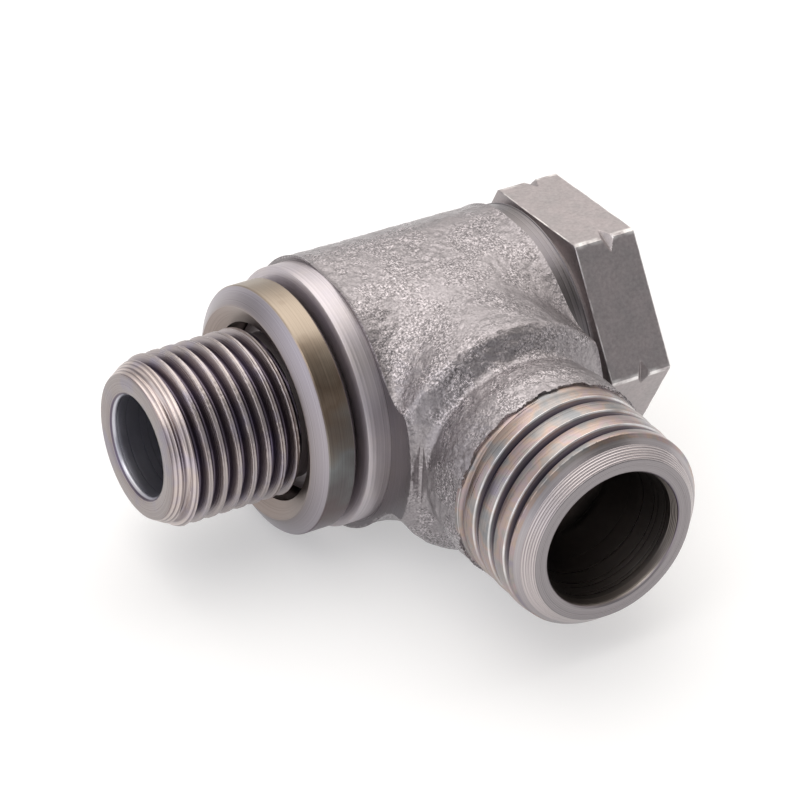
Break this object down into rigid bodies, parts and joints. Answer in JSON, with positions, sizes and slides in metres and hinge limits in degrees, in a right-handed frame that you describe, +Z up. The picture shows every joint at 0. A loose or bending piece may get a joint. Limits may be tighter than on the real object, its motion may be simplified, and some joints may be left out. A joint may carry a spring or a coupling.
{
  "type": "banjo fitting",
  "caption": "Banjo fitting with a forged barrel, a threaded cone branch at right angles, a hollow hex bolt and a sealing ring.",
  "frame": {"origin": "on the bolt axis, in the plane of the sealing ring's front edge, which is the face of the port it is screwed to", "axes": "+X along the bolt axis towards the hex head, so the stud points along -X; the branch leaves along -Y; +Z is up"},
  "size_m": [0.0298, 0.0279, 0.0153],
  "materials": {
    "forged_steel": "zinc plated, rough forged",
    "turned_steel": "zinc plated, turned",
    "passivated_steel": "zinc plated, iridescent passivation",
    "rubber": "matte black"
  },
  "bodies": {
    "fitting_body": {"banjo_body": "forged_steel"},
    "head_seal": {"head_o_ring": "rubber"},
    "hollow_bolt": {"banjo_bolt": "turned_steel"},
    "seal_ring": {"port_seal_ring": "passivated_steel"}
  },
  "joints": [
    {"name": "bolt_withdraw", "type": "slide", "parent": "fitting_body", "child": "head_seal", "axis": [1, 0, 0], "range_m": [0, 0.026]},
    {"name": "bolt_spin", "type": "hinge", "parent": "head_seal", "child": "hollow_bolt", "pos_m": [0.0105, 0, 0], "axis": [1, 0, 0], "continuous": true},
    {"name": "ring_slide", "type": "slide", "parent": "fitting_body", "child": "seal_ring", "axis": [-1, 0, 0], "range_m": [0, 0.0105]}
  ]
}
